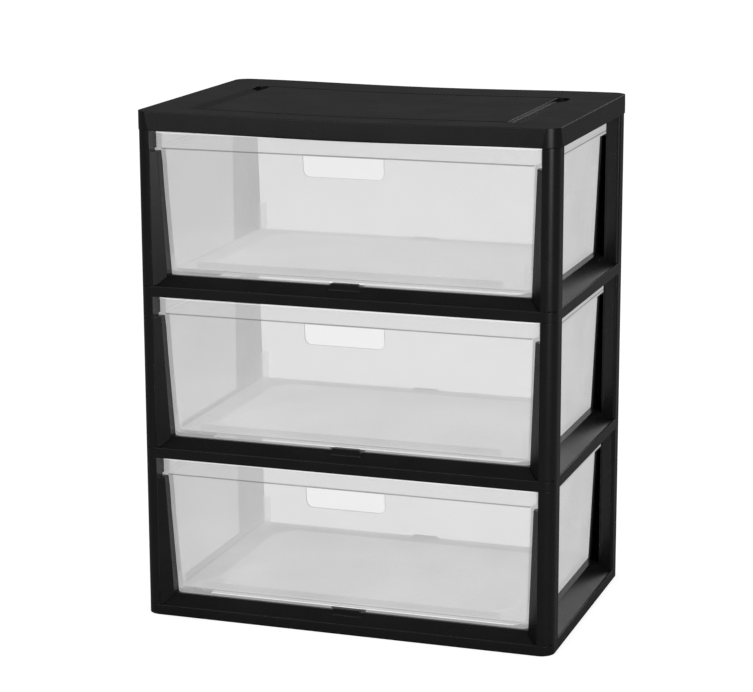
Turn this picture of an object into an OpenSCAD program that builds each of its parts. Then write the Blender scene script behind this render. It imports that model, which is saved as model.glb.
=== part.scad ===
// Stackable box of three clear sliding drawers in a knock-down frame of black mouldings:
// open ring decks, corner posts plugged between them, and a cap with a moated top.
// Millimetres. The origin is the middle of the footprint on the floor, X to the right,
// the front towards -Y, Z up. A tier's heights are measured from its own deck's underside.

/* [Frame] */
// Width over the posts
frame_w = 556; // [530:1:600]
// Depth over the posts
frame_d = 364; // [340:1:420]
// Height of one tier, deck to deck
tier_pitch = 215.6; // [205:0.2:240]
// Radius of the frame's upright corners
corner_r = 18; // [12:0.5:18.5]
// Wall of the black mouldings
shell_t = 2.4; // [2:0.1:3]
// Thickness of the ribs under the decks and the cap
rib_t = 1.8; // [1.2:0.1:2.4]
// Distance between those ribs
rib_gap = 46; // [36:1:70]
// How far the ribs stay up from the edge of the skirt
rib_lift = 3; // [2:0.5:5]

/* [Decks] */
// Height of the upright lip around a deck
lip_h = 13.8; // [12:0.1:16]
// Flat top of the lip
lip_w = 2; // [1.6:0.1:3]
// Width and depth of the groove behind the lip
groove = 1.2; // [0.8:0.1:1.6]
// Height of the flat seat that carries the drawer
seat_h = 26.7; // [24:0.1:30]
// Lip and sloped apron together, along a side
side_apron_w = 27; // [22:0.5:30]
// Lip and sloped apron together, along the front and the back
front_apron_w = 17; // [13:0.5:18]
// Flat seat along a side
side_seat_w = 23; // [16:0.5:30]
// Flat seat along the front and the back
front_seat_w = 13; // [8:0.5:20]
// Corner radius of the deck's opening
opening_r = 14; // [6:1:30]
// Top width of the stop in the middle of the front and back seats
stop_w = 34; // [20:1:50]
// Height of the stop above the seat
stop_h = 3.7; // [2:0.1:3.8]
// Thickness of the stop from front to back
stop_d = 7; // [4:0.5:8]
// Run of the stop's sloped ends
stop_ramp = 4; // [1:0.5:8]

/* [Posts] */
// Depth of a post from front to back
post_d = 36; // [32:1:44]
// Width of the post's hollow tube
tube_w = 19.4; // [18:0.1:22]
// Radius of the tube's inward corners
tube_r = 4; // [2:0.5:6]
// Flat front face of the post, before the wing turns back
front_flat_w = 18; // [14:0.5:19]
// Width of the post with its wing
wing_w = 39; // [36:0.5:42]
// How far the wing turns back over its width
wing_back = 19.3; // [14:0.1:24]
// Wall of the wing and its web
web_t = 2.6; // [2:0.1:3]
// Ledge for the runners, measured down from the next deck
ledge_drop = 26.9; // [24:0.1:32]
// Outer wall of the tube around its core
core_wall = 3; // [2.4:0.1:3.4]
// Width of the tube's core
core_w = 9.6; // [8:0.1:9.8]
// Length of the tube's core from front to back
core_l = 20; // [16:0.5:20.5]
// Length of the pegs that plug into the cores
peg_h = 16; // [10:1:22]

/* [Drawers] */
// How much narrower each side is at the foot than at the runner
side_draft = 7.1; // [3:0.1:8]
// How far the front and the back lean out over the same height
front_draft = 10; // [5:0.1:12]
// Radius of the body's upright corners
body_r = 11; // [8:0.5:14]
// Wall of the clear drawers
drawer_t = 2; // [1.6:0.1:2.6]
// Height of the foot rim under the floor
foot_h = 4; // [3.9:0.1:6]
// Width of the notch that lets the foot rim pass the stop
notch_w = 48; // [46:1:70]
// Step from the body's side out to the rim
rim_step = 7.6; // [5:0.1:9]
// Step from the body's front out to the rim
front_step = 1; // [0.5:0.1:1.4]
// How far the rim's front lies behind the posts' front
rim_setback = 9; // [6:0.5:12]
// Radius of the rim's corners
rim_r = 16; // [10:0.5:20]
// Height of the bead around the top of the rim
bead_h = 3.5; // [2:0.1:5]
// How far the bead stands out
bead_out = 0.5; // [0.3:0.1:0.8]
// Thickness of a runner
runner_t = 2.3; // [1.8:0.1:2.8]
// How far each runner stops short of the rim's front and back
runner_inset = 7; // [4:0.5:20]
// Width of the finger window in the front
window_w = 107; // [80:1:140]
// Height of the finger window, below the rim
window_h = 26.8; // [20:0.1:40]
// Radius of the window's lower corners
window_r = 9; // [4:0.5:12]
// Width and depth of the raised panel in the floor
panel_w = 410; // [300:5:440]
panel_d = 250; // [150:5:290]
// Height of the raised panel
panel_h = 0.8; // [0.4:0.1:1.2]
// Length that the panel's corners are cut by
panel_cut = 26; // [10:1:40]
// Length of the scoop along the foot of the front wall
scoop_w = 410; // [300:5:430]
// Depth and height of the scoop
scoop_d = 12; // [8:0.5:16]
scoop_h = 12; // [8:0.5:16]
// Width and depth of the pads in the inner corners
pad_w = 8; // [5:0.5:10]
// Height of the pads above the floor
pad_h = 36; // [20:1:60]

/* [Cap] */
// Height of the cap
cap_h = 24.2; // [20:0.1:32]
// How far the cap's skirt stands out past the posts
cap_out = 2; // [1:0.1:3]
// How much the cap narrows towards its top, on each side
cap_draft = 1.5; // [0.5:0.1:2]
// Radius of the cap's upright corners
cap_r = 24; // [18:0.5:26]
// How far the cap sags in the middle of its width
sag = 2.4; // [0:0.1:2.6]
// Width and depth of the moat's outline around the top panel
moat_w = 444; // [380:1:460]
moat_l = 251; // [200:1:270]
// How far the moat lies in front of the cap's middle
moat_shift = 15.5; // [0:0.5:20]
// Corner radius of the moat's outline
moat_r = 16; // [8:1:30]
// How deep the moat is
moat_d = 4; // [2:0.1:6]
// Width of the moat along its front and back
moat_groove = 6; // [3:0.5:12]
// Width of the ramps that fill its two ends
ramp_w = 20; // [8:0.5:40]
// Open length at the back of each end, behind the ramp
pocket_l = 34; // [10:1:60]

/* [Clearances] */
// Under the drawer's foot and under its runners
run_gap = 0.3; // [0.2:0.05:0.6]
// Between the drawer's side and the post's web
web_gap = 1; // [0.6:0.1:2]
// Between the drawer's rim and the post's tube
rim_gap = 1.3; // [1:0.1:2]
// Between the rim and the deck above
head_gap = 3; // [2.8:0.1:5]
// Between the drawer's foot and the stop
stop_gap = 1; // [0.5:0.1:2]
// Between a post's foot and the deck around it
foot_gap = 0.2; // [0.1:0.05:0.4]
// Between a peg and its core
peg_gap = 0.15; // [0.1:0.05:0.3]

/* [Hidden] */
$fn = 64;
HULL_FN = 32;
TIERS = 3;
FRAME_BLACK = "#1c1c1f";
CLEAR = [0.86, 0.88, 0.9, 0.55];

// Thickness of the discs that a hull is spanned between
disc_t = 0.01;
// How far a cutting body runs past the face it cuts
over = 1;
// Straight stretches along half of the cap's sagging curve
sag_steps = 10;

half_w = frame_w / 2;
half_d = frame_d / 2;
side_seat_x = half_w - side_apron_w;
front_seat_y = half_d - front_apron_w;
opening_w = 2 * (side_seat_x - side_seat_w);
opening_d = 2 * (front_seat_y - front_seat_w);

// The post's plan, for the corner at +X and +Y
tube_x = half_w - tube_w;
post_y = half_d - post_d;
flat_x = half_w - front_flat_w;
wing_x = half_w - wing_w;
wing_slope = wing_back / (wing_w - front_flat_w);
core_x = half_w - core_wall - core_w / 2;
core_y = half_d - post_d / 2;

// Heights in a tier, and the widths that fit each other there
ledge_z = tier_pitch - ledge_drop;
runner_z = ledge_z + run_gap;
rim_z = runner_z + runner_t;
rim_top = tier_pitch - head_gap;
foot_z = seat_h + run_gap;
floor_z = foot_z + foot_h;
// The shelf over a runner is thicker than the runner by half a wall
shelf_z = rim_z + drawer_t / 2;
rim_x = tube_x - rim_gap;
rim_y = half_d - rim_setback;
stop_y = rim_y - front_step - front_draft + stop_gap;
scoop_top = floor_z + drawer_t + scoop_h;

// Half width and half depth of a drawer's body at a height in its tier
lean = 1 / (runner_z - foot_z);
function body_x(z) = rim_x - rim_step - side_draft * (runner_z - z) * lean;
function body_y(z) = rim_y - front_step - front_draft * (runner_z - z) * lean;

// Inner face of a drawer's front wall at the floor, where the scoop begins
scoop_y = drawer_t - body_y(floor_z);

// The inner face of a post's web follows the drawer's lean
function web_x(z) = body_x(z) + web_gap;

// The wing's turned-back face, moved outwards by c
function wing_y(x, c) = half_d - (flat_x - x) * wing_slope + c * sqrt(1 + wing_slope * wing_slope);

// A closed outline from its right half, bottom to top
function mirrored(points) =
    concat(points, [for (i = [len(points) - 1:-1:0]) [-points[i][0], points[i][1]]]);

// Right half of a deck's section: lip, groove, sloped apron, start of the seat
function deck_side(half, seat_at) = [
    [half, 0],
    [half, lip_h],
    [half - lip_w, lip_h],
    [half - lip_w, lip_h - groove],
    [half - lip_w - groove, lip_h - groove],
    [seat_at, seat_h]
];

// Right half of the hollow under it, one wall inside
function hollow_side(half, seat_at) =
    let (
        apron_x = half - lip_w - groove,
        slope = (seat_h - lip_h + groove) / (apron_x - seat_at),
        apron_z = lip_h - groove - shell_t * sqrt(1 + slope * slope)
    ) [
        [half - shell_t, -over],
        [half - shell_t, apron_z - (half - shell_t - apron_x) * slope],
        [apron_x - (seat_h - shell_t - apron_z) / slope, seat_h - shell_t]
    ];

// How far the cap hangs down at x; it is level over the posts
function sag_at(x) = abs(x) < wing_x ? sag * pow(1 - pow(x / wing_x, 2), 2) : 0;

// The sagging line at height z, from -limit to limit
function sag_line(limit, z) = [
    for (i = [-sag_steps:sag_steps])
        let (x = limit * i / sag_steps) [x, z - sag_at(x)]
];

function reversed(points) = [for (i = [len(points) - 1:-1:0]) points[i]];

// ---- Small helpers ----

// Draws its children at one corner and mirrored to the other three
module at_corners() {
    for (mx = [0, 1], my = [0, 1])
        mirror([mx, 0, 0])
            mirror([0, my, 0])
                children();
}

// Draws its children at the back and mirrored to the front
module at_front_and_back() {
    for (my = [0, 1])
        mirror([0, my, 0])
            children();
}

// Draws its children on the right and mirrored to the left
module at_right_and_left() {
    for (mx = [0, 1])
        mirror([mx, 0, 0])
            children();
}

// Extrudes an outline in X and Z along Y
module along_y(length) {
    rotate([90, 0, 0])
        linear_extrude(length, center = true)
            children();
}

// Extrudes an outline in Y and Z along X
module along_x(length) {
    rotate([90, 0, 90])
        linear_extrude(length, center = true)
            children();
}

module rounded_rect(w, d, r) {
    square([w - 2 * r, d], center = true);
    square([w, d - 2 * r], center = true);
    for (x = [-1, 1], y = [-1, 1])
        translate([x * (w / 2 - r), y * (d / 2 - r)])
            circle(r);
}

// ---- Posts ----

// Plan of a post at the +X +Y corner, grown by c: a tube with a wing that turns back from its front
module post_plan(c) {
    intersection() {
        rounded_rect(frame_w + 2 * c, frame_d + 2 * c, corner_r + c);
        union() {
            translate([tube_x + tube_w / 2, post_y + post_d - c])
                rounded_rect(tube_w + 2 * c, 2 * post_d, tube_r + c);
            polygon([
                [wing_x - c, post_y - c],
                [flat_x, post_y - c],
                [flat_x, wing_y(flat_x, c)],
                [wing_x - c, wing_y(wing_x - c, c)]
            ]);
        }
    }
}

// Plan of the core in the tube, or of a peg that is smaller by c all around
module core_plan(c) {
    translate([core_x, core_y]) {
        square([core_w - 2 * c, core_l - core_w], center = true);
        for (y = [-1, 1])
            translate([0, y * (core_l - core_w) / 2])
                circle(core_w / 2 - c);
    }
}

// The post seen from the front: leaning web, ledge for the runner, and the tube above it
module post_elevation() {
    polygon([
        [web_x(lip_h), lip_h],
        [half_w + over, lip_h],
        [half_w + over, tier_pitch],
        [tube_x, tier_pitch],
        [tube_x, ledge_z],
        [web_x(ledge_z), ledge_z]
    ]);
}

// The pocket between web and tube, open towards the middle of the side
module post_pocket() {
    bottom = lip_h + shell_t;
    top = ledge_z - shell_t;
    intersection() {
        linear_extrude(tier_pitch)
            polygon([
                [wing_x, post_y - over],
                [tube_x, post_y - over],
                [tube_x, wing_y(tube_x, -web_t)],
                [wing_x, wing_y(wing_x, -web_t)]
            ]);
        along_y(2 * frame_d)
            polygon([
                [web_x(bottom) + web_t, bottom],
                [tube_x, bottom],
                [tube_x, top],
                [web_x(top) + web_t, top]
            ]);
    }
}

// One post of a tier; side and face are 1 for right and back, -1 for left and front
module post(tier, side, face) {
    color(FRAME_BLACK)
        translate([0, 0, tier * tier_pitch])
            mirror([side < 0 ? 1 : 0, 0, 0])
                mirror([0, face < 0 ? 1 : 0, 0])
                    difference() {
                        intersection() {
                            linear_extrude(tier_pitch)
                                post_plan(0);
                            along_y(2 * frame_d)
                                post_elevation();
                        }
                        post_pocket();
                        translate([0, 0, lip_h - over])
                            linear_extrude(tier_pitch)
                                core_plan(0);
                    }
}

// ---- Decks ----

module deck_opening(wall) {
    rounded_rect(opening_w + 2 * wall, opening_d + 2 * wall, opening_r + wall);
}

// A deck without its opening or hollows: lip and apron, mitred where front and side meet
module deck_form() {
    intersection() {
        along_y(frame_d)
            polygon(mirrored(deck_side(half_w, side_seat_x)));
        along_x(frame_w)
            polygon(mirrored(deck_side(half_d, front_seat_y)));
        linear_extrude(seat_h)
            rounded_rect(frame_w, frame_d, corner_r);
    }
}

// The stop in the middle of the front and of the back seat
module deck_stops() {
    at_front_and_back()
        translate([0, stop_y + stop_d / 2, 0])
            along_y(stop_d)
                polygon(mirrored([
                    [stop_w / 2 + stop_ramp, lip_h],
                    [stop_w / 2 + stop_ramp, seat_h],
                    [stop_w / 2, seat_h + stop_h]
                ]));
}

// Cross ribs under a moulding, spaced evenly about the middle
module cross_ribs(reach_x, reach_y, bottom, top) {
    nx = floor(reach_x / rib_gap);
    ny = floor(reach_y / rib_gap);
    for (i = [-nx:nx])
        translate([i * rib_gap - rib_t / 2, -half_d, bottom])
            cube([rib_t, frame_d, top - bottom]);
    for (i = [-ny:ny])
        translate([-half_w, i * rib_gap - rib_t / 2, bottom])
            cube([frame_w, rib_t, top - bottom]);
}

// The hollow under a deck, around its ribs and its solid corners
module deck_hollow() {
    difference() {
        intersection() {
            along_y(frame_d)
                polygon(mirrored(hollow_side(half_w, side_seat_x)));
            along_x(frame_w)
                polygon(mirrored(hollow_side(half_d, front_seat_y)));
            translate([0, 0, -over])
                linear_extrude(seat_h + over)
                    rounded_rect(frame_w - 2 * shell_t, frame_d - 2 * shell_t, corner_r - shell_t);
        }
        translate([0, 0, -over])
            linear_extrude(seat_h + over)
                deck_opening(shell_t);
        cross_ribs(opening_w / 2, opening_d / 2, rib_lift, seat_h);
        at_corners()
            translate([0, 0, -over])
                linear_extrude(seat_h + over)
                    post_plan(shell_t);
    }
}

// The cut that a post's foot stands in, down to the level of the lip
module foot_cut() {
    top = seat_h + over;
    intersection() {
        linear_extrude(top)
            post_plan(foot_gap);
        along_y(2 * frame_d)
            polygon([
                [web_x(lip_h) - foot_gap, lip_h],
                [half_w + over, lip_h],
                [half_w + over, top],
                [web_x(top) - foot_gap, top]
            ]);
    }
}

// A peg for the core of a post, standing on z = 0
module peg() {
    linear_extrude(peg_h)
        core_plan(peg_gap);
}

// An open ring deck; the decks above the lowest also plug into the posts below
module deck(tier) {
    color(FRAME_BLACK)
        translate([0, 0, tier * tier_pitch]) {
            difference() {
                union() {
                    deck_form();
                    deck_stops();
                }
                translate([0, 0, -over])
                    linear_extrude(seat_h + 2 * over)
                        deck_opening(0);
                deck_hollow();
                at_corners()
                    foot_cut();
            }
            at_corners()
                translate([0, 0, lip_h])
                    peg();
            if (tier > 0)
                at_corners()
                    translate([0, 0, -peg_h])
                        peg();
        }
}

// ---- Cap ----

// The cap seen from the front: drafted ends, sagging top and sagging lower edge
module cap_elevation() {
    bottom_half = half_w + cap_out;
    top_half = bottom_half - cap_draft;
    polygon(concat(
        [[-bottom_half, 0]],
        sag_line(wing_x, 0),
        [[bottom_half, 0], [top_half, cap_h]],
        reversed(sag_line(wing_x, cap_h)),
        [[-top_half, cap_h]]
    ));
}

module cap_form() {
    bottom_half = half_d + cap_out;
    intersection() {
        along_y(frame_d + 4 * cap_out)
            cap_elevation();
        along_x(frame_w + 4 * cap_out)
            polygon(mirrored([
                [bottom_half, -sag - over],
                [bottom_half, 0],
                [bottom_half - cap_draft, cap_h]
            ]));
        translate([0, 0, -sag - over])
            linear_extrude(cap_h + sag + 2 * over)
                rounded_rect(frame_w + 2 * cap_out, frame_d + 2 * cap_out, cap_r);
    }
}

// The moat around the top panel at full depth; lowered and widened by c, it is the moulding under it
module cap_moat(c) {
    reach = moat_w / 2 + c;
    difference() {
        intersection() {
            along_y(frame_d)
                polygon(concat(
                    [[-reach, cap_h + over]],
                    sag_line(reach, cap_h - moat_d - c),
                    [[reach, cap_h + over]]
                ));
            translate([0, -moat_shift, 0])
                linear_extrude(cap_h + 2 * over)
                    rounded_rect(moat_w + 2 * c, moat_l + 2 * c, moat_r + c);
        }
        translate([0, -moat_shift, 0])
            linear_extrude(cap_h + 3 * over)
                square([moat_w - 2 * ramp_w - 2 * c, moat_l - 2 * moat_groove - 2 * c], center = true);
    }
}

// The ramps that rise outwards through the moat's two ends, up to the open pockets at the back
module cap_ramps() {
    foot = moat_w / 2 - ramp_w;
    slope = (moat_d - sag_at(foot) + sag_at(moat_w / 2)) / ramp_w;
    at_right_and_left()
        translate([0, -moat_shift - pocket_l / 2, 0])
            along_y(moat_l - pocket_l)
                polygon([
                    [foot - over, cap_h - moat_d - sag_at(foot) - over * slope],
                    [moat_w / 2, cap_h - sag_at(moat_w / 2)],
                    [moat_w / 2 + over, cap_h - sag_at(moat_w / 2)],
                    [moat_w / 2 + over, cap_h - moat_d - over],
                    [foot - over, cap_h - moat_d - over]
                ]);
}

module cap_hollow() {
    side = half_w + cap_out - cap_draft - shell_t;
    front = half_d + cap_out - cap_draft - shell_t;
    difference() {
        intersection() {
            along_y(2 * front)
                polygon(concat(
                    [[side, -sag - over]],
                    [[side, cap_h - shell_t]],
                    reversed(sag_line(wing_x, cap_h - shell_t)),
                    [[-side, cap_h - shell_t]],
                    [[-side, -sag - over]]
                ));
            translate([0, 0, -sag - over])
                linear_extrude(cap_h + sag + over)
                    rounded_rect(2 * side, 2 * front, cap_r - shell_t);
        }
        cap_moat(shell_t);
        cross_ribs(wing_x, post_y, cap_h / 3, cap_h);
        at_corners()
            translate([0, 0, -over])
                linear_extrude(cap_h)
                    post_plan(shell_t - cap_draft);
    }
}

module top_cap() {
    color(FRAME_BLACK)
        translate([0, 0, TIERS * tier_pitch]) {
            difference() {
                cap_form();
                difference() {
                    cap_moat(0);
                    cap_ramps();
                }
                cap_hollow();
            }
            at_corners()
                translate([0, 0, -peg_h])
                    peg();
        }
}

// ---- Drawers ----

// The leaning, round-cornered body between two heights, one wall smaller by inset
module body_form(bottom, top, inset) {
    r = body_r - inset;
    hull()
        for (z = [bottom, top - disc_t], x = [-1, 1], y = [-1, 1])
            translate([x * (body_x(z) - inset - r), y * (body_y(z) - inset - r), z])
                cylinder(disc_t, r = r, $fn = HULL_FN);
}

// The rim's plan, grown by c
module rim_plan(c) {
    rounded_rect(2 * (rim_x + c), 2 * (rim_y + c), rim_r + c);
}

// The finger window, open up to the rim, with round lower corners
module finger_window() {
    bottom = rim_z - window_h;
    translate([0, -rim_y, 0])
        along_y(2 * (front_draft + drawer_t))
            difference() {
                translate([-window_w / 2, bottom])
                    square([window_w, window_h]);
                for (x = [-1, 1])
                    translate([x * window_w / 2, bottom])
                        difference() {
                            square(2 * window_r, center = true);
                            translate([-x * window_r, window_r])
                                circle(window_r);
                        }
            }
}

// The raised panel of the floor, with its corners cut off
module floor_panel() {
    x = panel_w / 2;
    y = panel_d / 2;
    linear_extrude(drawer_t + panel_h)
        polygon(mirrored([[x - panel_cut, -y], [x, -y + panel_cut], [x, y - panel_cut], [x - panel_cut, y]]));
}

// The scoop along the foot of the front wall, as a solid wedge
module scoop_wedge() {
    along_x(scoop_w)
        polygon([
            [scoop_y, floor_z],
            [scoop_y, scoop_top],
            [scoop_y + scoop_d, floor_z + drawer_t],
            [scoop_y + scoop_d, floor_z]
        ]);
}

// The hollow under the scoop, one wall inside
module scoop_hollow() {
    slope = scoop_h / scoop_d;
    roof = scoop_top - drawer_t * sqrt(1 + slope * slope);
    along_x(scoop_w - 2 * drawer_t)
        polygon([
            [scoop_y, floor_z - over],
            [scoop_y, roof],
            [scoop_y + (roof - floor_z) / slope, floor_z],
            [scoop_y + (roof - floor_z) / slope, floor_z - over]
        ]);
}

// The pads in the inner corners
module corner_pads() {
    x = body_x(floor_z) - drawer_t - pad_w;
    y = body_y(floor_z) - drawer_t - pad_w;
    at_corners()
        translate([x, y, floor_z])
            cube([2 * pad_w, 2 * pad_w, drawer_t + pad_h]);
}

module drawer(tier) {
    color(CLEAR)
        translate([0, 0, tier * tier_pitch])
            difference() {
                union() {
                    difference() {
                        union() {
                            body_form(foot_z, rim_z, 0);
                            translate([0, 0, rim_z])
                                linear_extrude(rim_top - rim_z)
                                    rim_plan(0);
                            translate([0, 0, rim_top - bead_h])
                                linear_extrude(bead_h)
                                    rim_plan(bead_out);
                            translate([-rim_x, -rim_y + runner_inset, runner_z])
                                cube([2 * rim_x, 2 * (rim_y - runner_inset), runner_t]);
                        }
                        difference() {
                            body_form(floor_z + drawer_t, shelf_z + disc_t, drawer_t);
                            corner_pads();
                        }
                        translate([0, 0, shelf_z])
                            linear_extrude(rim_top)
                                rim_plan(-drawer_t);
                    }
                    translate([0, 0, floor_z])
                        floor_panel();
                    scoop_wedge();
                }
                scoop_hollow();
                // The foot rim: the space under the floor, and the notch for the stop
                translate([0, 0, foot_z - over])
                    linear_extrude(foot_h + over)
                        rounded_rect(
                            2 * (body_x(foot_z) - drawer_t),
                            2 * (body_y(foot_z) - drawer_t),
                            body_r - drawer_t
                        );
                translate([-notch_w / 2, -rim_y, foot_z - over])
                    cube([notch_w, rim_y, foot_h + over]);
                finger_window();
            }
}

// ---- The nodes ----

top_cap();
deck(2);  // upper_deck
deck(1);  // middle_deck
deck(0);  // base_deck
post(2, -1, -1);  // upper_front_left_post
post(2, 1, -1);  // upper_front_right_post
post(2, -1, 1);  // upper_back_left_post
post(2, 1, 1);  // upper_back_right_post
post(1, -1, -1);  // middle_front_left_post
post(1, 1, -1);  // middle_front_right_post
post(1, -1, 1);  // middle_back_left_post
post(1, 1, 1);  // middle_back_right_post
post(0, -1, -1);  // lower_front_left_post
post(0, 1, -1);  // lower_front_right_post
post(0, -1, 1);  // lower_back_left_post
post(0, 1, 1);  // lower_back_right_post
drawer(2);  // upper_drawer
drawer(1);  // middle_drawer
drawer(0);  // lower_drawer
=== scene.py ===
"""Looks of a stackable three-drawer box: black moulded frame, clear moulded drawers.

Lengths are written in millimetres and turned to metres by MM. X is to the right, the front
faces -Y, Z is up, and the origin is the middle of the footprint on the floor.
"""
import logging
import math
from dataclasses import astuple, dataclass
from enum import Enum

import bpy
import numpy as np
from mathutils import Matrix, Vector


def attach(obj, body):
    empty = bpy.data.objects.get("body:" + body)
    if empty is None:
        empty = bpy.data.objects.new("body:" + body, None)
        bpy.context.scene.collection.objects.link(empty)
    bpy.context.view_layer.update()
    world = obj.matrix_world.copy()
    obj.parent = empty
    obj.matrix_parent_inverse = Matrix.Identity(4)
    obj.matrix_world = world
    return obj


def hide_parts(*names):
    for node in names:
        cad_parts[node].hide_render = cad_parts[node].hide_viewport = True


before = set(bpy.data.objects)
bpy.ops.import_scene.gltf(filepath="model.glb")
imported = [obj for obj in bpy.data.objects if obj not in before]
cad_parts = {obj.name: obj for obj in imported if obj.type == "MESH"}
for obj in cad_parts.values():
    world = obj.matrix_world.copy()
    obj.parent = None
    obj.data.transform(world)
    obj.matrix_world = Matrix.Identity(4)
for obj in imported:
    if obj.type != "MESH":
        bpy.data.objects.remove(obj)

MM = 0.001
TIER_MM = 215.6  # height of one tier, from deck to deck
IMAGE_W = 753  # width of the picture in pixels
SHARP_DEG = 32.0  # an edge that turns by more than this stays sharp
BEVEL_SAMPLES = 6  # rays of the rounded-edge shading
NOISE_LOW = 0.3  # nearly all of a noise pattern lies between these two
NOISE_HIGH = 0.7
LOG = logging.getLogger("drawer_box")


class Section(Enum):
    """The parts of a drawer's moulding that differ to the eye, with their material slots.

    Two of them are painted light: a shade line and a highlight.
    """

    THIN_WALL = 0
    THICK_RIM = 1
    # painted shade: dark faces at the window's edge and under the rim
    CUT_EDGE = 2
    # painted highlight: a brighter line along the rim's rolled top
    ROLLED_EDGE = 3


def linear(hex_colour: str) -> tuple[float, float, float, float]:
    """Turn an sRGB hex colour into the linear RGBA that Blender's sockets take.

    A share c of full brightness becomes c / 12.92 up to 0.04045, and above it
    ((c + 0.055) / 1.055) ^ 2.4.

    Args:
        hex_colour: six hex digits, such as "1B1B1D".

    Returns:
        Linear red, green, blue and an alpha of 1.
    """
    srgb = np.array([int(hex_colour[i:i + 2], 16) for i in (0, 2, 4)]) / 255.0
    lin = np.where(srgb <= 0.04045, srgb / 12.92, ((srgb + 0.055) / 1.055) ** 2.4)
    return (float(lin[0]), float(lin[1]), float(lin[2]), 1.0)


def add_node(tree: bpy.types.NodeTree, kind: str, inputs: dict | None = None, **settings) -> bpy.types.Node:
    """Add one shader node, set its properties and fill its inputs.

    Args:
        tree: node tree that gets the node.
        kind: Blender's identifier of the node.
        inputs: input name or index to a plain value or to the output socket that feeds it.
        settings: properties of the node itself.

    Returns:
        The new node.
    """
    node = tree.nodes.new(kind)
    for name, value in settings.items():
        setattr(node, name, value)
    for key, value in (inputs or {}).items():
        if isinstance(value, bpy.types.NodeSocket):
            tree.links.new(value, node.inputs[key])
        else:
            node.inputs[key].default_value = value
    return node


def new_material(name: str) -> tuple[bpy.types.Material, bpy.types.NodeTree]:
    """Make an empty node material.

    Args:
        name: the material's name.

    Returns:
        The material and its cleared node tree.
    """
    material = bpy.data.materials.new(name)
    material.use_nodes = True
    material.node_tree.nodes.clear()
    return material, material.node_tree


def background_rays(tree: bpy.types.NodeTree) -> tuple[bpy.types.NodeSocket, bpy.types.NodeSocket]:
    """Tell the rays that see the background, straight or through glass, from those that mirror it.

    Args:
        tree: node tree of the floor or of the world.

    Returns:
        A socket that is 1 for camera and transmission rays, and one that is 1 for glossy rays.
    """
    rays = add_node(tree, "ShaderNodeLightPath").outputs
    seen = add_node(tree, "ShaderNodeMath", {0: rays["Is Camera Ray"], 1: rays["Is Transmission Ray"]},
                    operation="MAXIMUM")
    return seen.outputs["Value"], rays["Is Glossy Ray"]


@dataclass(frozen=True)
class BlackPolypropylene:
    """Black polypropylene, injection-moulded in a lightly spark-eroded steel tool.

    To the eye: a deep neutral black, satin rather than glossy, with soft broad highlights, a very
    fine even grain, faint clouds where the melt cooled unevenly, and softly rounded edges that
    catch a thin line of light.
    """

    colour: str = "151517"
    cloud_colour: str = "1B1B1D"
    cloud_mm: float = 60.0
    cloud_detail: float = 3.0
    smooth: float = 0.24
    dull: float = 0.3
    grain_mm: float = 1.1
    grain_detail: float = 2.0
    grain_depth_mm: float = 0.05
    grain_strength: float = 0.1
    gloss: float = 0.4
    ior: float = 1.49
    edge_radius_mm: float = 1.8

    def material(self) -> bpy.types.Material:
        """Build the node material.

        Returns:
            The finished material.
        """
        material, tree = new_material("moulded_black_polypropylene")
        place = add_node(tree, "ShaderNodeTexCoord").outputs["Object"]
        cloud = add_node(tree, "ShaderNodeTexNoise",
                         {"Vector": place, "Scale": 1.0 / (self.cloud_mm * MM),
                          "Detail": self.cloud_detail}).outputs["Fac"]
        tint = add_node(tree, "ShaderNodeMix",
                        {0: cloud, 6: linear(self.colour), 7: linear(self.cloud_colour)},
                        data_type="RGBA").outputs[2]
        sheen = add_node(tree, "ShaderNodeMapRange",
                         {"Value": cloud, "From Min": NOISE_LOW, "From Max": NOISE_HIGH,
                          "To Min": self.smooth, "To Max": self.dull}).outputs["Result"]
        rounded = add_node(tree, "ShaderNodeBevel", {"Radius": self.edge_radius_mm * MM},
                           samples=BEVEL_SAMPLES).outputs["Normal"]
        # The real grain is about 0.2 mm across; it is drawn at 1.1 mm so that it shows in the render.
        grain = add_node(tree, "ShaderNodeTexNoise",
                         {"Vector": place, "Scale": 1.0 / (self.grain_mm * MM),
                          "Detail": self.grain_detail}).outputs["Fac"]
        bump = add_node(tree, "ShaderNodeBump",
                        {"Height": grain, "Strength": self.grain_strength,
                         "Distance": self.grain_depth_mm * MM, "Normal": rounded}).outputs["Normal"]
        shader = add_node(tree, "ShaderNodeBsdfPrincipled",
                          {"Base Color": tint, "Roughness": sheen, "IOR": self.ior,
                           "Specular IOR Level": self.gloss, "Normal": bump}).outputs["BSDF"]
        add_node(tree, "ShaderNodeOutputMaterial", {"Surface": shader})
        return material


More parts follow.
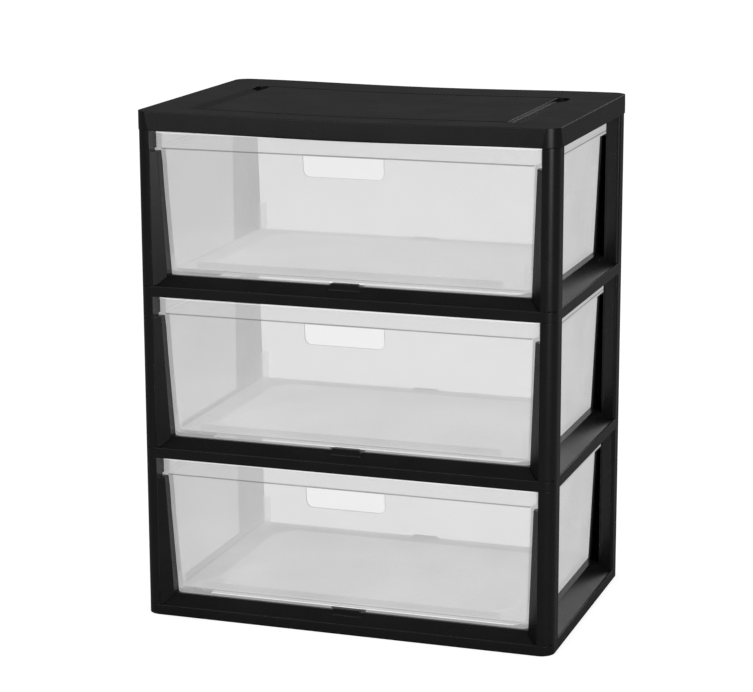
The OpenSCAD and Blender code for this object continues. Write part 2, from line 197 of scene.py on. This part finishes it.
@dataclass(frozen=True)
class ClearPolystyrene:
    """Clear drawer plastic, injection-moulded in a polished tool, two millimetres thick.

    To the eye: nearly colourless and see-through face on, greyer and milky where it is looked at
    along its surface, with faint flow clouds, a crisp gloss and bright rounded edges. A faint even
    glow is painted into the wall as emission. It stands in for the many inner reflections that a
    render leaves out, and makes the plastic glow although it is no lamp.

    The haze is the share of milk in the body. It is low face on and rises to grazing_haze as the
    view's slant, 1 - cos of its angle to the normal, goes from grazing_from to grazing_to. The
    IOR is lower than polystyrene's usual 1.59, which keeps the mirrored studio faint.
    """

    name: str = "moulded_clear_plastic"
    milk: str = "8C8C8C"
    body_tint: str = "F2F2F2"
    # strength of the painted glow, an emission that stands in for inner reflections
    glow: float = 0.84
    back_lit_share: float = 0.5
    haze: float = 0.2
    grazing_haze: float = 0.62
    grazing_from: float = 0.63
    grazing_to: float = 0.85
    flow_mm: float = 90.0
    flow_detail: float = 1.0
    flow_share: float = 0.08
    roughness: float = 0.12
    gloss: float = 0.6
    ior: float = 1.49
    edge_radius_mm: float = 1.2

    def material(self) -> bpy.types.Material:
        """Build the node material: a clear body mixed with milk by the haze, under a glossy skin.

        The milk carries a painted glow, an emission that stands in for inner reflections.

        Returns:
            The finished material.
        """
        material, tree = new_material(self.name)
        place = add_node(tree, "ShaderNodeTexCoord").outputs["Object"]
        rounded = add_node(tree, "ShaderNodeBevel", {"Radius": self.edge_radius_mm * MM},
                           samples=BEVEL_SAMPLES).outputs["Normal"]
        clear = add_node(tree, "ShaderNodeBsdfTransparent",
                         {"Color": linear(self.body_tint)}).outputs["BSDF"]
        milk_paint = {"Color": linear(self.milk), "Normal": rounded}
        front_lit = add_node(tree, "ShaderNodeBsdfDiffuse", milk_paint).outputs["BSDF"]
        back_lit = add_node(tree, "ShaderNodeBsdfTranslucent", milk_paint).outputs["BSDF"]
        spread = add_node(tree, "ShaderNodeMixShader",
                          {0: self.back_lit_share, 1: front_lit, 2: back_lit}).outputs["Shader"]
        # Painted glow: even emission in the milk, standing in for inner reflections
        painted_glow = add_node(tree, "ShaderNodeEmission", {"Strength": self.glow}).outputs["Emission"]
        milk = add_node(tree, "ShaderNodeAddShader", {0: spread, 1: painted_glow}).outputs["Shader"]
        # With a blend of one half, Facing is the slant itself.
        facing = add_node(tree, "ShaderNodeLayerWeight", {"Blend": 0.5}).outputs["Facing"]
        haze = add_node(tree, "ShaderNodeMapRange",
                        {"Value": facing, "From Min": self.grazing_from, "From Max": self.grazing_to,
                         "To Min": self.haze, "To Max": self.grazing_haze}).outputs["Result"]
        flow = add_node(tree, "ShaderNodeTexNoise",
                        {"Vector": place, "Scale": 1.0 / (self.flow_mm * MM),
                         "Detail": self.flow_detail}).outputs["Fac"]
        cloud = add_node(tree, "ShaderNodeMapRange",
                         {"Value": flow, "From Min": NOISE_LOW, "From Max": NOISE_HIGH,
                          "To Min": 1.0 - self.flow_share,
                          "To Max": 1.0 + self.flow_share}).outputs["Result"]
        share = add_node(tree, "ShaderNodeMath", {0: haze, 1: cloud}, operation="MULTIPLY",
                         use_clamp=True).outputs["Value"]
        body = add_node(tree, "ShaderNodeMixShader", {0: share, 1: clear, 2: milk}).outputs["Shader"]
        skin = add_node(tree, "ShaderNodeBsdfGlossy",
                        {"Roughness": self.roughness, "Normal": rounded}).outputs["BSDF"]
        mirror = add_node(tree, "ShaderNodeFresnel", {"IOR": self.ior}).outputs["Fac"]
        shine = add_node(tree, "ShaderNodeMath", {0: mirror, 1: self.gloss},
                         operation="MULTIPLY").outputs["Value"]
        whole = add_node(tree, "ShaderNodeMixShader", {0: shine, 1: body, 2: skin}).outputs["Shader"]
        add_node(tree, "ShaderNodeOutputMaterial", {"Surface": whole})
        return material


@dataclass(frozen=True)
class PaleFloor:
    """Seamless white studio floor: it shows white to the camera, with a very faint shadow.

    Its paint is a pale grey that takes the shadow, and an even lift, for camera and transmission
    rays only, brings the open floor up to white. Mirrored in the black frame it is greyer, as the
    floor of a dim studio would be.
    """

    size_m: float = 60.0
    colour: str = "E6E6E6"
    mirrored: str = "8A8A8A"
    lift: float = 0.72

    def build(self) -> bpy.types.Object:
        """Make the floor plane.

        Returns:
            The floor object, marked as stage.
        """
        half = self.size_m / 2
        mesh = bpy.data.meshes.new("studio_floor")
        mesh.from_pydata([(-half, -half, 0), (half, -half, 0), (half, half, 0), (-half, half, 0)], [],
                         [(0, 1, 2, 3)])
        floor = bpy.data.objects.new("studio_floor", mesh)
        bpy.context.scene.collection.objects.link(floor)
        material, tree = new_material("matt_studio_floor_paint")
        seen, glossy = background_rays(tree)
        lift = add_node(tree, "ShaderNodeMath", {0: seen, 1: self.lift},
                        operation="MULTIPLY").outputs["Value"]
        shade = add_node(tree, "ShaderNodeMix",
                         {0: glossy, 6: linear(self.colour), 7: linear(self.mirrored)},
                         data_type="RGBA").outputs[2]
        paint = add_node(tree, "ShaderNodeBsdfDiffuse", {"Color": shade}).outputs["BSDF"]
        glow = add_node(tree, "ShaderNodeEmission", {"Strength": lift}).outputs["Emission"]
        both = add_node(tree, "ShaderNodeAddShader", {0: paint, 1: glow}).outputs["Shader"]
        add_node(tree, "ShaderNodeOutputMaterial", {"Surface": both})
        mesh.materials.append(material)
        return floor


@dataclass(frozen=True)
class SoftBox:
    """One soft studio lamp."""

    name: str
    place_m: tuple[float, float, float]
    width_m: float
    height_m: float
    watts: float

    def build(self, target_m: tuple[float, float, float]) -> None:
        """Make the lamp and aim it.

        Args:
            target_m: point that the lamp faces.
        """
        data = bpy.data.lights.new(self.name, "AREA")
        data.shape = "RECTANGLE"
        data.size = self.width_m
        data.size_y = self.height_m
        data.energy = self.watts
        lamp = bpy.data.objects.new(self.name, data)
        aim = Vector(target_m) - Vector(self.place_m)
        lamp.location = self.place_m
        lamp.visible_camera = False
        lamp.rotation_euler = aim.to_track_quat("-Z", "Y").to_euler()
        bpy.context.scene.collection.objects.link(lamp)


@dataclass(frozen=True)
class Studio:
    """White studio: even ambient light, three soft lamps and a seamless floor.

    The world is white to the camera, lights the object at a plain level, and is dimmer where a
    glossy surface mirrors it, so that the black frame stays black.
    """

    white: float = 1.0
    ambient: float = 0.5
    mirrored: float = 0.11
    target_m: tuple[float, float, float] = (0.0, 0.0, 0.33)
    lamps: tuple[SoftBox, ...] = (
        SoftBox("back_right", (0.95, 2.6, 1.4), 1.1, 1.0, 3.5),
        SoftBox("front_right", (2.8, -2.2, 0.9), 1.4, 1.6, 26.0),
        SoftBox("fill_front", (-1.4, -3.2, 1.8), 2.2, 2.2, 22.0),
    )

    def build(self) -> None:
        """Make the world, the lamps and the floor."""
        world = bpy.data.worlds.new("studio")
        bpy.context.scene.world = world
        world.use_nodes = True
        tree = world.node_tree
        tree.nodes.clear()
        seen, glossy = background_rays(tree)
        lit = add_node(tree, "ShaderNodeMapRange", {"Value": glossy, "To Min": self.ambient,
                                                    "To Max": self.mirrored}).outputs["Result"]
        level = add_node(tree, "ShaderNodeMix", {0: seen, 2: lit, 3: self.white}).outputs[0]
        light = add_node(tree, "ShaderNodeBackground", {"Strength": level}).outputs["Background"]
        add_node(tree, "ShaderNodeOutputWorld", {"Surface": light})
        for lamp in self.lamps:
            lamp.build(self.target_m)
        PaleFloor().build()


@dataclass(frozen=True)
class ProductCamera:
    """The camera that took the photograph, solved from the frame's straight edges."""

    place_mm: tuple[float, float, float] = (1032.1, -3076.4, 1091.1)
    yaw_deg: float = 18.80
    pitch_deg: float = 12.96
    roll_deg: float = -0.20
    focal_px: float = 2497.8
    sensor_mm: float = 36.0

    def build(self) -> None:
        """Make the camera, turned left by yaw, down by pitch and rolled by roll.

        With yaw a and pitch b, forward = (-sin a cos b, cos a cos b, -sin b) and
        right = (cos a, sin a, 0); up = right x forward.
        """
        yaw, pitch, roll = (math.radians(v) for v in (self.yaw_deg, self.pitch_deg, self.roll_deg))
        forward = Vector((-math.sin(yaw) * math.cos(pitch), math.cos(yaw) * math.cos(pitch),
                          -math.sin(pitch)))
        right = Vector((math.cos(yaw), math.sin(yaw), 0.0))
        up = right.cross(forward)
        side = math.cos(roll) * right + math.sin(roll) * up
        top = -math.sin(roll) * right + math.cos(roll) * up
        data = bpy.data.cameras.new("product_camera")
        data.sensor_width = self.sensor_mm
        data.lens = self.focal_px / IMAGE_W * self.sensor_mm
        camera = bpy.data.objects.new("product_camera", data)
        turn = Matrix((side, top, -forward)).transposed().to_4x4()
        camera.matrix_world = Matrix.Translation(Vector(self.place_mm) * MM) @ turn
        bpy.context.scene.collection.objects.link(camera)
        bpy.context.scene.camera = camera


@dataclass(frozen=True)
class Mesh:
    """A mesh as whole arrays: points in millimetres, four-sided faces, and end faces of any size."""

    points: np.ndarray
    quads: np.ndarray
    ends: tuple[np.ndarray, ...]

    def moved(self, offset: tuple[float, float, float]) -> "Mesh":
        """Give the same mesh shifted by an offset in millimetres."""
        return Mesh(self.points + np.array(offset), self.quads, self.ends)


def joined(parts: list[Mesh]) -> Mesh:
    """Join meshes into one.

    Args:
        parts: meshes in the same frame.

    Returns:
        One mesh that holds all of them.
    """
    starts = np.cumsum([0] + [len(part.points) for part in parts[:-1]])
    return Mesh(np.concatenate([part.points for part in parts]),
                np.concatenate([part.quads + start for part, start in zip(parts, starts)]),
                tuple(end + start for part, start in zip(parts, starts) for end in part.ends))


def extruded(outline: np.ndarray, axis: int, low: float, high: float) -> Mesh:
    """Carry a closed outline straight along an axis.

    The outline is given in the two other axes in their cyclic order (Y Z for X, Z X for Y, X Y for Z)
    and runs anticlockwise when seen from the axis' positive end.

    Args:
        outline: corners of the outline in millimetres, one row each.
        axis: 0, 1 or 2 for X, Y or Z.
        low: where the body starts on the axis.
        high: where it ends.

    Returns:
        The closed body.
    """
    count = len(outline)
    points = np.empty((2, count, 3))
    points[:, :, (axis + 1) % 3] = outline[:, 0]
    points[:, :, (axis + 2) % 3] = outline[:, 1]
    points[0, :, axis] = low
    points[1, :, axis] = high
    here = np.arange(count)
    after = np.roll(here, -1)
    sides = np.stack([here, after, after + count, here + count], axis=1)
    return Mesh(points.reshape(-1, 3), sides, (here[::-1], here + count))


def quarter_turn(count: int) -> np.ndarray:
    """Give a number of angles, evenly from 0 to 90 degrees, in radians."""
    return np.radians(np.linspace(0, 90, count))


def mirrored(outline: np.ndarray, side_x: int, side_y: int) -> np.ndarray:
    """Mirror an outline into another quarter of the plane, still running anticlockwise.

    Args:
        outline: corners, one row each.
        side_x: 1, or -1 to mirror in X.
        side_y: 1, or -1 to mirror in Y.

    Returns:
        The mirrored outline.
    """
    turned = outline * (side_x, side_y)
    return turned[::-1] if side_x * side_y < 0 else turned


def placed(name: str, mesh: Mesh, finishes: dict[Section, bpy.types.Material]) -> bpy.types.Object:
    """Put a mesh into the scene as a smooth-shaded object whose sharp edges stay sharp.

    Args:
        name: name of the object.
        mesh: its arrays, in millimetres.
        finishes: the finish of each section, in the order of their slots.

    Returns:
        The new object.
    """
    data = bpy.data.meshes.new(name)
    faces = mesh.quads.tolist() + [end.tolist() for end in mesh.ends]
    data.from_pydata((mesh.points * MM).tolist(), [], faces)
    data.polygons.foreach_set("use_smooth", np.ones(len(data.polygons), dtype=bool))
    data.set_sharp_from_angle(angle=math.radians(SHARP_DEG))
    for section in Section:
        data.materials.append(finishes[section])
    piece = bpy.data.objects.new(name, data)
    bpy.context.scene.collection.objects.link(piece)
    return piece


@dataclass(frozen=True)
class Station:
    """One ring of a drawer's skin: a rounded rectangle at a height."""

    half_x: float
    half_y: float
    radius: float
    z: float


@dataclass
class Drawer:
    """One clear drawer: a thin moulded shell that leans outwards, with a broad rim and a finger window.

    Heights are measured from the underside of the drawer's own deck. A step is how far one face
    stands back from another, a draft how much the foot is drawn in on each side, and a lap how
    far a fitting is sunk into the wall that carries it. A sliver is the least distance between
    two edges that have to stay apart. The sizes near and skin_gap only sort faces by finish: how
    far past an edge a face may lie, and how far inside the wall's skins.
    """

    name: str
    floor_level: float
    wall: float = 2.0
    sliver: float = 0.05
    near: float = 0.1
    foot_z: float = 27.0
    foot_chamfer: float = 0.4
    floor_z: float = 31.0
    floor_r: float = 3.0
    wall_rings: tuple[float, ...] = (60.0, 100.0, 140.0)
    runner_z: float = 189.0
    runner_inset: float = 7.0
    runner_lap: float = 1.0
    rim_z: float = 191.3
    rim_top: float = 212.6
    rim_x: float = 257.3
    rim_y: float = 173.0
    rim_r: float = 16.0
    rim_step: float = 7.6
    front_step: float = 1.0
    side_draft: float = 7.1
    front_draft: float = 10.0
    body_r: float = 11.0
    bead_h: float = 3.5
    bead_out: float = 0.5
    bead_slope: float = 0.4
    edge_r: float = 0.9
    # height of the band along the rim's lower edge that gets the painted shade line; a ring stands at its
    # top
    painted_shade_h: float = 1.9
    skin_gap: float = 0.3
    window_w: float = 107.0
    window_h: float = 26.8
    window_r: float = 9.0
    notch_w: float = 48.0
    panel_w: float = 410.0
    panel_d: float = 250.0
    panel_h: float = 0.8
    panel_cut: float = 26.0
    scoop_w: float = 410.0
    scoop_d: float = 12.0
    scoop_h: float = 12.0
    gusset_inset: float = 0.1
    pad_w: float = 8.0
    pad_h: float = 36.0
    pad_cut: float = 4.0
    lap: float = 0.5
    sunk: float = 0.2
    notch_columns: tuple[float, ...] = (8.0, 16.0)
    window_columns: tuple[float, ...] = (34.0,)
    wall_columns: tuple[float, ...] = (90.0, 140.0, 190.0, 220.0)
    edge_points: int = 5
    window_points: int = 7
    corner_points: int = 11
    side_points: int = 9

    def down(self, z: float | np.ndarray) -> float | np.ndarray:
        """Give how far down the wall a height lies: 0 under the runners and 1 at the foot."""
        return (self.runner_z - z) / (self.runner_z - self.foot_z)

    def half_depth(self, z: float | np.ndarray) -> float | np.ndarray:
        """Give half the leaning body's outer depth at a height."""
        return self.rim_y - self.front_step - self.front_draft * self.down(z)

    def body(self, z: float, inset: float) -> Station:
        """Give the leaning body's ring at a height, moved inwards by inset."""
        half_x = self.rim_x - self.rim_step - self.side_draft * self.down(z)
        return Station(half_x - inset, self.half_depth(z) - inset, self.body_r - inset, z)

    def rim(self, z: float, grow: float) -> Station:
        """Give the rim's ring at a height, grown by grow."""
        return Station(self.rim_x + grow, self.rim_y + grow, self.rim_r + grow, z)

    def stations(self) -> tuple[list[Station], list[int]]:
        """List the rings that the wall's section passes through.

        The section starts under the floor, goes down the foot rim, up the outside, over the rim's
        rolled edge and down the inside to the floor. The rim's edges and the floor's inner corner
        are quarter circles, and the foot is chamfered.

        Returns:
            The rings, and the numbers of four of them: the window's bottom and top on the outside,
            and its top and bottom on the inside.
        """
        wall, edge, fillet, chamfer = self.wall, self.edge_r, self.floor_r, self.foot_chamfer
        turn = quarter_turn(self.edge_points)
        bottom = self.rim_z - self.window_h
        rings = [self.body(self.floor_z, wall), self.body(self.foot_z + chamfer, wall),
                 self.body(self.foot_z, wall - chamfer), self.body(self.foot_z, chamfer),
                 self.body(self.foot_z + chamfer, 0.0)]
        rings += [self.body(z, 0.0) for z in self.wall_rings]
        window_out = len(rings)
        rings += [self.body(bottom, 0.0), self.body(self.rim_z, 0.0)]
        rings += [self.rim(self.rim_z + edge * (1 - math.cos(a)), edge * (math.sin(a) - 1)) for a in turn]
        rings += [self.rim(self.rim_z + self.painted_shade_h, 0.0),
                  self.rim(self.rim_top - self.bead_h - self.bead_slope, 0.0),
                  self.rim(self.rim_top - self.bead_h, self.bead_out)]
        rings += [self.rim(self.rim_top - edge * (1 - math.sin(a)),
                           self.bead_out - edge * (1 - math.cos(a))) for a in turn]
        rings += [self.rim(self.rim_top - edge * (1 - math.cos(a)), edge - wall - edge * math.sin(a))
                  for a in turn]
        shelf = self.rim_z + wall / 2
        rings += [self.rim(shelf + edge, -wall), self.rim(shelf, -wall - edge),
                  self.body(shelf, wall), self.body(self.rim_z, wall)]
        window_in = len(rings)
        rings.append(self.body(bottom, wall))
        rings += [self.body(z, wall) for z in reversed(self.wall_rings)]
        top = self.floor_z + wall
        rings += [self.body(top + fillet * (1 - math.sin(a)), wall + fillet * (1 - math.cos(a)))
                  for a in turn]
        return rings, [window_out, window_out + 1, window_in - 1, window_in]

    def columns(self, station: np.ndarray) -> tuple[np.ndarray, np.ndarray]:
        """Place the points of every ring, so that the section is carried along a rounded rectangle.

        Along the front and the back the columns stand at fixed X, so that the window's and the
        notch's edges run straight up; round the corners they are spread by angle, and along the
        sides by share of the side's length.

        Args:
            station: rings as an array of half X, half Y, radius and height.

        Returns:
            X and Y of every ring and column, the front's columns first.
        """
        half_x, half_y, radius = (station[:, i, None] for i in range(3))
        arc = self.window_w / 2 - self.window_r * (1 - np.sin(quarter_turn(self.window_points)))
        notch = self.notch_w / 2
        right = np.concatenate([self.notch_columns, [notch - self.sliver, notch + self.sliver],
                                self.window_columns, arc, self.wall_columns])
        front_x = np.concatenate([-right[::-1], [0.0], right])[None, :] + 0 * half_x
        turn = quarter_turn(self.corner_points)[None, :]
        share = np.linspace(-1, 1, self.side_points)[None, 1:-1]
        corner_x, corner_y = half_x - radius, half_y - radius
        rise, run = radius * np.sin(turn), radius * np.cos(turn)
        side_x = half_x * np.ones_like(share)
        front_y = half_y * np.ones_like(front_x)
        x = np.concatenate([front_x, corner_x + rise, side_x, corner_x + run,
                            -front_x, -corner_x - rise, -side_x, -corner_x - run], axis=1)
        y = np.concatenate([-front_y, -corner_y - run, corner_y * share, corner_y + rise,
                            front_y, corner_y + run, -corner_y * share, -corner_y - rise], axis=1)
        return x, y

    def heights(self, level: np.ndarray, x: np.ndarray, y: np.ndarray, window: list[int]) -> np.ndarray:
        """Give every point the height of its ring, but for the window's corners and the foot's notch.

        On both skins the ring under the window follows the quarter circles of its corners,
        z = bottom + r - sqrt(r^2 - (|x| - (w/2 - r))^2), and stays r higher beside the window. At
        the notch the foot's rings are lifted to the floor.

        Args:
            level: height of each ring.
            x: X of every ring and column.
            y: Y of every ring and column.
            window: the four rings of the window, as stations gives them.

        Returns:
            Z of every ring and column.
        """
        off = np.clip(np.abs(x) - (self.window_w / 2 - self.window_r), 0, self.window_r)
        lift = self.window_r - np.sqrt(self.window_r ** 2 - off ** 2)
        lowest = np.isin(np.arange(len(level)), (window[0], window[-1]))
        z = level[:, None] + np.where(lowest[:, None] & (y < 0), lift, 0.0)
        under_floor = self.floor_z - self.sliver
        notched = (np.abs(x) < self.notch_w / 2) & (z < under_floor)
        return np.where(notched, under_floor, z)

    def window_edge(self, index: np.ndarray, spans: np.ndarray, window: list[int]) -> np.ndarray:
        """Close the window's edge between the outer and the inner skin.

        Args:
            index: number of the point at every ring and column.
            spans: columns at which the window's quads start, from left to right.
            window: the four rings of the window, as stations gives them.

        Returns:
            The quads of its bottom, its top and its two upright sides.
        """
        out_low, out_top, in_top, in_low = window
        first, last = spans[0], spans[-1] + 1
        bottom = np.stack([index[out_low, spans], index[out_low, spans + 1],
                           index[in_low, spans + 1], index[in_low, spans]], axis=1)
        top = np.stack([index[out_top, spans + 1], index[out_top, spans],
                        index[in_top, spans], index[in_top, spans + 1]], axis=1)
        sides = np.array([[index[out_top, first], index[out_low, first],
                           index[in_low, first], index[in_top, first]],
                          [index[out_low, last], index[out_top, last],
                           index[in_top, last], index[in_low, last]]])
        return np.concatenate([bottom, top, sides])

    def shell(self) -> Mesh:
        """Build the drawer's skin as one closed surface, with the window cut through its front wall.

        The surface is a function of ring and column: columns gives its X and Y, and heights its Z.
        The quads inside the window are left out, and its edge is closed.

        Returns:
            The closed skin.
        """
        rings, window = self.stations()
        station = np.array([astuple(ring) for ring in rings])
        x, y = self.columns(station)
        z = self.heights(station[:, 3], x, y, window)
        index = np.arange(x.size).reshape(x.shape)
        after = np.roll(index, -1, axis=1)
        quads = np.stack([index[:-1], after[:-1], after[1:], index[1:]], axis=2)
        at_window = (y[0] < 0) & (np.abs(x[0]) <= self.window_w / 2)
        inside = at_window & np.roll(at_window, -1)
        keep = np.ones(quads.shape[:2], dtype=bool)
        keep[window[0], inside] = False
        keep[window[2], inside] = False
        edge = self.window_edge(index, np.flatnonzero(inside), window)
        return Mesh(np.stack([x, y, z], axis=2).reshape(-1, 3), np.concatenate([quads[keep], edge]),
                    (index[0, ::-1], index[-1]))

    def runners(self) -> list[Mesh]:
        """Build the strip under the rim on each side, on which the drawer slides.

        Returns:
            The right and the left strip.
        """
        reach = self.rim_y - self.runner_inset
        inner = self.rim_x - self.rim_step - self.runner_lap
        right = np.array([(self.runner_z, inner), (self.rim_z, inner), (self.rim_z, self.rim_x),
                          (self.runner_z, self.rim_x)])
        return [extruded(mirrored(right, 1, side), 1, -reach, reach) for side in (1, -1)]

    def floor_panel(self) -> Mesh:
        """Build the low raised panel with cut corners on the drawer's floor.

        Returns:
            The panel, sunk a little into the floor.
        """
        x, y, cut = self.panel_w / 2, self.panel_d / 2, self.panel_cut
        outline = np.array([(-x, -y + cut), (-x + cut, -y), (x - cut, -y), (x, -y + cut),
                            (x, y - cut), (x - cut, y), (-x + cut, y), (-x, y - cut)])
        top = self.floor_z + self.wall
        return extruded(outline, 2, top - self.sunk, top + self.panel_h)

    def scoop(self) -> list[Mesh]:
        """Build the thin slanted sheet along the front wall's foot and its two end gussets.

        Returns:
            The sheet and the gussets.
        """
        y, z = self.wall - self.half_depth(self.floor_z), self.floor_z + self.wall
        wall, half = self.wall, self.scoop_w / 2
        sheet = np.array([(y, z + self.scoop_h), (y - self.lap, z + self.scoop_h - wall),
                          (y + self.scoop_d - wall, z - self.sunk), (y + self.scoop_d, z)])
        gusset = np.array([(y, z + self.scoop_h - self.gusset_inset), (y, z - self.sunk),
                           (y + self.scoop_d - self.gusset_inset, z - self.sunk)])
        gussets = [extruded(gusset, 0, start, start + wall) for start in (-half, half - wall)]
        return [extruded(sheet, 0, -half, half), *gussets]

    def corner_pads(self) -> list[Mesh]:
        """Build the upright pad in each lower corner, its outer corner cut off to stay in the wall.

        Returns:
            The four pads.
        """
        skin = self.body(self.floor_z, self.wall)
        near_x, near_y = skin.half_x - self.pad_w, skin.half_y - self.pad_w
        far_x, far_y = skin.half_x + self.lap, skin.half_y + self.lap
        pad = np.array([(near_x, near_y), (far_x, near_y), (far_x, far_y - self.pad_cut),
                        (far_x - self.pad_cut, far_y), (near_x, far_y)])
        low = self.floor_z + self.wall
        return [extruded(mirrored(pad, side_x, side_y), 2, low - self.sunk, low + self.pad_h)
                for side_x in (1, -1) for side_y in (1, -1)]

    def dress(self, piece: bpy.types.Object) -> None:
        """Give every face its section's finish.

        Faces above the runners' underside belong to the thick rim. The narrow faces of the window's
        edge, which stand between the wall's two skins, and a band along the rim's lower edge get a
        painted shade line in dark milk. The turn at the rim's top, its rolled edge, gets a painted
        highlight, a brighter glow.

        Args:
            piece: the drawer's object.
        """
        centres = np.empty(len(piece.data.polygons) * 3)
        piece.data.polygons.foreach_get("center", centres)
        x, y, z = centres.reshape(-1, 3).T / MM
        z = z - self.floor_level
        slots = np.where(z > self.runner_z - self.near, Section.THICK_RIM.value, Section.THIN_WALL.value)
        outer = self.half_depth(z) - self.skin_gap
        inner = self.half_depth(z) - self.wall + self.skin_gap
        # The window's edge faces between the skins get a painted shade line.
        between = (-y < outer) & (-y > inner) & (z < self.rim_z + self.sliver)
        window = between & (np.abs(x) < self.window_w / 2 + self.near)
        window &= z > self.rim_z - self.window_h - self.near
        # A band along the rim's lower edge, on its outside, gets a painted shade line.
        outside = (np.abs(y) > self.rim_y - self.edge_r) | (np.abs(x) > self.rim_x - self.edge_r)
        under = (z > self.rim_z - self.near) & (z < self.rim_z + self.painted_shade_h) & outside
        slots = np.where(window | under, Section.CUT_EDGE.value, slots)
        # The rolled edge at the rim's top gets a painted highlight.
        slots = np.where(z > self.rim_top - self.edge_r, Section.ROLLED_EDGE.value, slots)
        piece.data.polygons.foreach_set("material_index", slots.astype(np.int32))
        piece.data.update()

    def build(self, finishes: dict[Section, bpy.types.Material]) -> bpy.types.Object:
        """Build the drawer, dress it and let it ride on its body.

        Args:
            finishes: the finish of each section.

        Returns:
            The drawer's object.
        """
        parts = [self.shell(), *self.runners(), self.floor_panel(), *self.scoop(), *self.corner_pads()]
        piece = placed(f"{self.name}_shell", joined(parts).moved((0.0, 0.0, self.floor_level)), finishes)
        self.dress(piece)
        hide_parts(self.name)
        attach(piece, self.name)
        return piece


@dataclass
class StackingFrame:
    """The black frame: cap, three decks and twelve posts, whose solids already show every form."""

    tiers: tuple[str, ...] = ("upper", "middle", "lower")
    decks: tuple[str, ...] = ("top_cap", "upper_deck", "middle_deck", "base_deck")
    corners: tuple[str, ...] = ("front_left", "front_right", "back_left", "back_right")

    def names(self) -> list[str]:
        """List the frame's pieces from the cap down."""
        return [*self.decks, *(f"{tier}_{corner}_post" for tier in self.tiers for corner in self.corners)]

    def dress(self, plastic: bpy.types.Material) -> None:
        """Give every piece of the frame its finish in place of the plain one.

        Args:
            plastic: the frame's finish.
        """
        for name in self.names():
            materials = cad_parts[name].data.materials
            materials.clear()
            materials.append(plastic)
            LOG.info("dressed %s", name)


def drawer_finishes() -> dict[Section, bpy.types.Material]:
    """Make the finish of each section: the thick rim is milkier than the wall, the edges most of all.

    The cut edges' dark milk and dim glow paint a shade line, and the rolled edge's brighter glow
    paints a highlight.

    Returns:
        The four finishes by section.
    """
    variants = {
        Section.THIN_WALL: ClearPolystyrene(),
        Section.THICK_RIM: ClearPolystyrene(name="moulded_clear_plastic_rim", glow=0.68, haze=0.3,
                                            grazing_haze=0.75),
        # Painted shade: dark milk and a dim glow draw a dark line at the window's edge and under the rim.
        Section.CUT_EDGE: ClearPolystyrene(name="moulded_clear_plastic_edge", milk="3C3C3C", glow=0.2,
                                           haze=0.6),
        # Painted highlight: a brighter glow draws a bright line along the rim's rolled top.
        Section.ROLLED_EDGE: ClearPolystyrene(name="moulded_clear_plastic_rolled_edge", glow=0.95,
                                              haze=0.55),
    }
    return {section: plastic.material() for section, plastic in variants.items()}


def main() -> None:
    """Build the camera, the studio and the drawers, and dress the frame."""
    logging.basicConfig(level=logging.INFO, format="%(name)s: %(message)s")
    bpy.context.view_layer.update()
    bpy.context.scene.view_settings.view_transform = "Standard"
    ProductCamera().build()
    Studio().build()
    StackingFrame().dress(BlackPolypropylene().material())
    finishes = drawer_finishes()
    for tier, name in enumerate(("lower_drawer", "middle_drawer", "upper_drawer")):
        Drawer(name, tier * TIER_MM).build(finishes)
        LOG.info("built %s", name)


if __name__ == "__main__":
    main()
